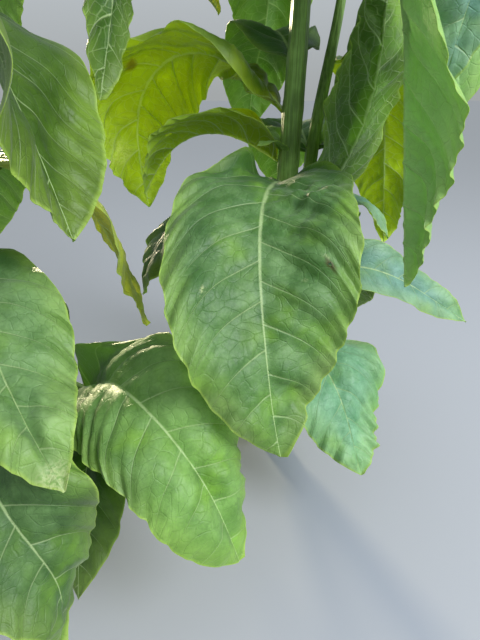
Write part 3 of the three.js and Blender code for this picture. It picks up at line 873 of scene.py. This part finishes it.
def leaf_look(tone, sizes, colours):
    """Living leaf: a waxy, slightly hairy skin over a soft green blade that lets some light through."""
    dark, light, below, glow = (solid(getattr(colours, f"{tone}_{part}")) for part in TONE_PARTS)
    vein, hem, straw, rust = (solid(getattr(colours, name)) for name in ("vein", "hem", "straw", "rust"))
    look = bpy.data.materials.new(f"leaf_{tone}")
    tree = emptied(look)
    flat = add(tree, "UVMap", {"uv_map": "flat"})
    marks = {
        name: add(tree, "Attribute", {"attribute_name": name}).outputs["Fac"]
        for name in ("rib", "edge", "tint", "pillow", "under", "wear_and_sun_patches", "dead_and_hole_shade")
    }
    out, to_vein, side_line, cross_line, net_line = leaf_lines(tree, flat, sizes)

    # The blade's own green: blotches of centimetres, specks of millimetres and the leaf's own tint, with
    # painted shade towards its base.
    blotch = add(tree, "TexNoise", {"Scale": per(BLOTCH), "Detail": 4, "Roughness": 0.6}, {"Vector": flat})
    speck = add(tree, "TexNoise", {"Scale": per(SPECK), "Detail": 3}, {"Vector": flat})
    both = add(tree, "Math", {**TIMES_PLUS, 1: 0.28}, {0: speck, 2: blotch})
    tint_and_base_shade = add(tree, "Math", {"operation": "ADD"}, {0: both, 1: marks["tint"]})

    # Painted light and shade: the pillows between the veins are painted lighter on the upper side, and
    # darker seen from below, where they are hollows.
    shade = add(tree, "MapRange", {3: PILLOW_LIGHT_AND_SHADE[0], 4: PILLOW_LIGHT_AND_SHADE[1]}, {0: marks["under"]})
    pillow_light_and_shade = add(tree, "Math", TIMES_PLUS, {0: marks["pillow"], 1: shade, 2: tint_and_base_shade})
    spread = add(tree, "MapRange", {**SOFT, 1: 0.34, 2: 0.98}, {0: pillow_light_and_shade})
    green = add(tree, "Mix", {**RGBA, 6: dark, 7: light}, {0: spread})

    # A side vein is pale, most of all near the midrib and from below. In the upper side the veins and the
    # fine net are painted dark, as painted shade in their creases; on the under side they are pale lines.
    fade = add(tree, "MapRange", {**SOFT, 3: VEIN_SHARES[0], 4: VEIN_SHARES[1]}, {0: out})
    paler = add(tree, "Math", {**TIMES_PLUS, 1: VEIN_MORE_BELOW}, {0: marks["under"], 2: fade})
    side_share = add(tree, "Math", TIMES, {0: side_line, 1: paler})
    creased = add(tree, "Math", {"operation": "MAXIMUM"}, {0: side_line, 1: cross_line})
    strength = add(tree, "MapRange", {3: CREASE_SHADE_AND_VEIN_SHARES[0], 4: CREASE_SHADE_AND_VEIN_SHARES[1]}, {0: marks["under"]})
    crease_shade_and_vein_share = add(tree, "Math", TIMES, {0: creased, 1: strength})
    net_shade_and_vein_share = add(tree, "Math", {**TIMES, 1: NET_SHADE_AND_VEIN_SHARE}, {0: net_line})
    crease_shade_and_vein = add(tree, "Mix", {**RGBA, 6: dark, 7: vein}, {0: marks["under"]}).outputs[2]

    # Yellowing patches, painted shade in the furrow beside the veins, the lime edge that is soft over
    # centimetres and sharp at the rim, the midrib, and scuffs with patches of painted sunlight.
    patch = add(tree, "TexNoise", {"Scale": per(PATCH), "Detail": 3, "Roughness": 0.62}, {"Vector": flat})
    patch_share = add(tree, "MapRange", {**SOFT, 1: 0.46, 2: 0.72, 4: 0.5}, {0: patch})
    # Painted shade: the blade is darkened in the furrow beside each vein.
    furrow = add(tree, "MapRange", {**SOFT, 1: 0.01, 2: 0.09, 3: 0.14, 4: 0}, {0: to_vein})
    soft_hem = add(tree, "MapRange", {**SOFT, 2: HEM_WIDTHS[0], 3: 0.5, 4: 0}, {0: marks["edge"]})
    uneven_hem = add(tree, "Math", TIMES, {0: soft_hem, 1: blotch})
    sharp_hem = add(tree, "MapRange", {**SOFT, 2: HEM_WIDTHS[1], 3: 0.7, 4: 0}, {0: marks["edge"]})
    rib_away = add(tree, "Math", {"operation": "ABSOLUTE"}, {0: marks["rib"]})
    rib_share = add(tree, "MapRange", {**SOFT, 1: 0.2, 2: 1.15, 3: 0.75, 4: 0}, {0: rib_away})
    under_share = add(tree, "Math", {**TIMES, 1: UNDER_SHARE}, {0: marks["under"]})
    scuffed = add(tree, "MapRange", {**SOFT, 1: 0.36, 2: 0.6}, {0: speck})
    wear_and_sun_share = add(tree, "Math", TIMES, {0: marks["wear_and_sun_patches"], 1: scuffed})

    layers = [
        (patch_share, glow), (furrow, dark), (under_share, below),
        (net_shade_and_vein_share, crease_shade_and_vein), (crease_shade_and_vein_share, crease_shade_and_vein),
        (uneven_hem, hem), (side_share, vein), (rib_share, vein),
        (sharp_hem, hem), (wear_and_sun_share, straw), (marks["dead_and_hole_shade"], rust),
    ]
    tone_now = green.outputs[2]
    for share, tint in layers:
        mixed = add(tree, "Mix", RGBA, {0: share, 6: tone_now})
        if isinstance(tint, tuple):
            mixed.inputs[7].default_value = tint
        else:
            tree.links.new(tint, mixed.inputs[7])
        tone_now = mixed.outputs[2]

    # Veins and net lie in the upper side and stand out of the under side; small pillows lie between.
    lines = add(tree, "Math", {**TIMES_PLUS, 1: 0.6}, {0: cross_line, 2: side_line})
    all_lines = add(tree, "Math", {**TIMES_PLUS, 1: 0.16}, {0: net_line, 2: lines})
    grain = add(tree, "Math", {**TIMES_PLUS, 1: 0.35}, {0: speck, 2: all_lines})
    outward = add(tree, "MapRange", {3: -1, 4: 1.6}, {0: marks["under"]})
    height = add(tree, "Math", TIMES, {0: grain, 1: outward})
    bump = add(tree, "Bump", {"Strength": 0.6, "Distance": LEAF_BUMP * MM}, {"Height": height})
    gloss = add(tree, "MapRange", {3: 0.4, 4: 0.6}, {0: blotch})

    skin = add(tree, "BsdfPrincipled",
               {"IOR": 1.45, "Specular IOR Level": 0.6, "Sheen Weight": 0.22, "Sheen Roughness": 0.35},
               {"Base Color": tone_now, "Roughness": gloss, "Normal": bump})
    through = add(tree, "Mix", {**RGBA, 0: 0.55, 7: glow}, {6: tone_now})
    lit_through = add(tree, "BsdfTranslucent", links={0: through.outputs[2], 1: bump})
    leaf = add(tree, "MixShader", {0: sizes.glow}, {1: skin, 2: lit_through})
    add(tree, "OutputMaterial", links={0: leaf})
    return look


def stalk_look(settings):
    """Green stalk: firm, finely ridged and satin, paler on its ridges."""
    look = bpy.data.materials.new("green_stalk")
    tree = emptied(look)
    place = add(tree, "TexCoord").outputs["Object"]
    ridge = add(tree, "Attribute", {"attribute_name": "ridge"}).outputs["Fac"]
    drawn = add(tree, "Mapping", {"Scale": tuple(per(size) for size in STREAK)}, {0: place})
    streak = add(tree, "TexNoise", {"Scale": 1, "Detail": 4}, {"Vector": drawn})
    blotch = add(tree, "TexNoise", {"Scale": per(STALK_BLOTCH), "Detail": 4}, {"Vector": place})
    both = add(tree, "Math", {"operation": "ADD"}, {0: streak, 1: blotch})
    spread = add(tree, "MapRange", {**SOFT, 1: 0.75, 2: 1.3}, {0: both})
    green = add(tree, "Mix", {**RGBA, 6: solid(settings.dark), 7: solid(settings.light)}, {0: spread})
    crest = add(tree, "MapRange", {**SOFT, 1: 0.5, 2: 2.4, 4: 0.7}, {0: ridge})
    ridged = add(tree, "Mix", {**RGBA, 7: solid(settings.crest)}, {0: crest, 6: green.outputs[2]})
    bump = add(tree, "Bump", {"Strength": 0.6, "Distance": STALK_BUMP * MM}, {"Height": streak})
    skin = add(tree, "BsdfPrincipled", {"Roughness": 0.48, "IOR": 1.42, "Sheen Weight": 0.1},
               {"Base Color": ridged.outputs[2], "Normal": bump})
    add(tree, "OutputMaterial", links={0: skin})
    return look


# Stage

FLOOR_SIZE = 120  # metres, so that its edge lies at the horizon
SENSOR_WIDTH = 36
ZENITH_TINT = linear("#eef4ff")
LAMP_AIM = (-0.05, -0.05, 0.6)
KEY_FROM = (-1.1, 2.4, 0.98)
KEY_TINT = "#ffeec4"
# The fill lamp's place and width in metres, and its colour.
FILL_LAMP = ((1.9, -1.7, 2.3), 1.5, "#f4f8ff")


def surround(stage):
    """A pale sky, brighter overhead."""
    world = bpy.data.worlds.new("studio_sky")
    tree = emptied(world)
    way = add(tree, "TexCoord")
    part = add(tree, "SeparateXYZ", links={0: way.outputs["Generated"]})
    overhead = [level * stage.zenith * tint for level, tint in zip(stage.horizon, ZENITH_TINT)]
    sky = add(tree, "Mix", {**RGBA, 6: solid(stage.horizon), 7: solid(overhead)}, {0: part.outputs[2]})
    light = add(tree, "Background", links={0: sky.outputs[2]})
    add(tree, "OutputWorld", links={0: light})
    return world


def lamp(kind, name, place, tint, energy):
    """A lamp aimed at the plant, which the camera doesn't see."""
    turn = (Vector(LAMP_AIM) - Vector(place)).to_track_quat("-Z", "Y").to_euler()
    bpy.ops.object.light_add(type=kind, location=place, rotation=turn)
    light = bpy.context.active_object
    light.name = name
    light.visible_camera = False
    light.data.energy = energy
    light.data.color = linear(tint)
    return light.data


class SetStage(bpy.types.Operator):
    """Set a pale floor, a pale sky, a low sun, a soft lamp and a camera where the photo was taken"""

    bl_idname = "plant.set_stage"
    bl_label = "Set Stage"
    bl_options = {"REGISTER", "UNDO"}

    def execute(self, context):
        stage = context.scene.plant_stage
        clear_selection()
        bpy.ops.mesh.primitive_plane_add(size=FLOOR_SIZE, location=(0, 0, -0.001))
        floor = fresh("studio_floor")
        paper = bpy.data.materials.new("matt_studio_paper")
        paper.use_nodes = True
        skin = paper.node_tree.nodes["Principled BSDF"]
        sun = stage.key * (Vector(KEY_FROM) - Vector(LAMP_AIM)).normalized().z / math.pi
        sky = lerp(1, stage.zenith, 2 / 3)
        # So that the far floor is as bright as the horizon.
        pale = [level / (level * sky + sun * part) for level, part in zip(stage.horizon, linear(KEY_TINT))]
        skin.inputs["Base Color"].default_value = solid(pale)
        skin.inputs["Roughness"].default_value = 1.0
        skin.inputs["Specular IOR Level"].default_value = 0.0
        floor.data.materials.append(paper)
        context.scene.world = surround(stage)
        lamp("SUN", "key_light", KEY_FROM, KEY_TINT, stage.key).angle = stage.key_width
        place, width, tint = FILL_LAMP
        lamp("AREA", "fill_lamp", place, tint, stage.fill).size = width
        bpy.ops.object.camera_add(location=stage.camera, rotation=(math.pi / 2 - stage.pitch, 0, 0))
        eye = context.active_object
        eye.data.lens = stage.lens
        eye.data.sensor_width = SENSOR_WIDTH
        eye.data.clip_start = 0.02
        eye.data.clip_end = 2 * FLOOR_SIZE
        context.scene.camera = eye
        context.scene.view_settings.view_transform = "Standard"
        context.scene.view_settings.exposure = stage.exposure
        return {"FINISHED"}


STEM_CHOICE = [(name, f"{name.title()} stem", f"The {name} stem of the clump") for name in STEMS]


class StemTool:
    """What the operators that grow something on one stem share."""

    bl_options = {"REGISTER", "UNDO"}

    stem: EnumProperty(name="Stem", description="Which stem of the clump to grow", items=STEM_CHOICE)


class GrowStalk(StemTool, bpy.types.Operator):
    """Grow one stem of the clump, with its ridges and the scars above its leaves"""

    bl_idname = "plant.grow_stalk"
    bl_label = "Grow Stalk"

    def execute(self, context):
        settings = context.scene.plant_stalks
        look = bpy.data.materials.get("green_stalk") or stalk_look(settings)
        leaves = grown(self.stem)
        piece = ridged_stalk(f"stalk_{self.stem}_stem", Stem(self.stem), leaves, settings, look)
        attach(piece, "root")
        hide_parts(f"{self.stem}_stem")
        return {"FINISHED"}


def tone_look(context, tone):
    """The material of a tone, made when it is first needed."""
    scene = context.scene
    return bpy.data.materials.get(f"leaf_{tone}") or leaf_look(tone, scene.plant_leaf_sizes,
                                                               scene.plant_leaf_colours)


class GrowLeaves(StemTool, bpy.types.Operator):
    """Grow all the large leaves of one stem"""

    bl_idname = "plant.grow_leaves"
    bl_label = "Grow Leaves"

    def execute(self, context):
        sizes = context.scene.plant_leaf_sizes
        first_seed = 100 * list(STEMS).index(self.stem)
        for place, leaf in enumerate(grown(self.stem), 1):
            node = f"{self.stem}_leaf_{place:02d}"
            look = tone_look(context, leaf["tone"])
            seed = first_seed + place
            piece = veined_blade(f"blade_{node}", Stem(self.stem), leaf, seed, sizes, look)
            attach(piece, "root")
            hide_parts(node)
        return {"FINISHED"}


class GrowShoots(StemTool, bpy.types.Operator):
    """Grow one stem's side shoots and the tuft of small leaves round its tip"""

    bl_idname = "plant.grow_shoots"
    bl_label = "Grow Shoots"

    def execute(self, context):
        sizes = context.scene.plant_leaf_sizes
        look = tone_look(context, "young")
        first_seed = 1000 + 100 * list(STEMS).index(self.stem)
        small = side_leaves(self.stem, np.random.default_rng(first_seed))
        pieces = [veined_blade(f"shoot_{i}", Stem(self.stem), leaf, first_seed + i, sizes, look)
                  for i, leaf in enumerate(small)]
        clear_selection()
        for piece in pieces:
            piece.select_set(True)
        context.view_layer.objects.active = pieces[0]
        bpy.ops.object.join()
        piece = fresh(f"shoots_{self.stem}_stem")
        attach(piece, "root")
        return {"FINISHED"}


class PlantPanel(bpy.types.Panel):
    """Lists the plant's settings and the operators that grow it"""

    bl_idname = "VIEW3D_PT_tobacco_plant"
    bl_label = "Tobacco Plant"
    bl_space_type = "VIEW_3D"
    bl_region_type = "UI"
    bl_category = "Plant"

    def draw(self, context):
        layout = self.layout
        layout.operator(SetStage.bl_idname)
        for name in STEMS:
            row = layout.row(align=True)
            for tool in (GrowStalk, GrowLeaves, GrowShoots):
                row.operator(tool.bl_idname, text=f"{tool.bl_label}: {name}").stem = name
        for name in SETTINGS:
            box = layout.box()
            group = getattr(context.scene, name)
            for setting in group.__annotations__:
                box.prop(group, setting)


SETTINGS = {
    "plant_leaf_sizes": LeafSizes,
    "plant_leaf_colours": LeafColours,
    "plant_stalks": StalkSettings,
    "plant_stage": StageSettings,
}
CLASSES = (*SETTINGS.values(), SetStage, GrowStalk, GrowLeaves, GrowShoots, PlantPanel)


def register():
    """Registers the classes and hangs the settings on the scene."""
    for kind in CLASSES:
        bpy.utils.register_class(kind)
    for name, kind in SETTINGS.items():
        setattr(bpy.types.Scene, name, PointerProperty(type=kind))


def unregister():
    """Takes the settings and the classes away again."""
    for name in SETTINGS:
        delattr(bpy.types.Scene, name)
    for kind in reversed(CLASSES):
        bpy.utils.unregister_class(kind)


def main():
    """Makes the stage, the stems and the leaves."""
    register()
    bpy.ops.plant.set_stage()
    for name in STEMS:
        bpy.ops.plant.grow_stalk(stem=name)
        bpy.ops.plant.grow_leaves(stem=name)
        bpy.ops.plant.grow_shoots(stem=name)


if __name__ == "__main__":
    main()
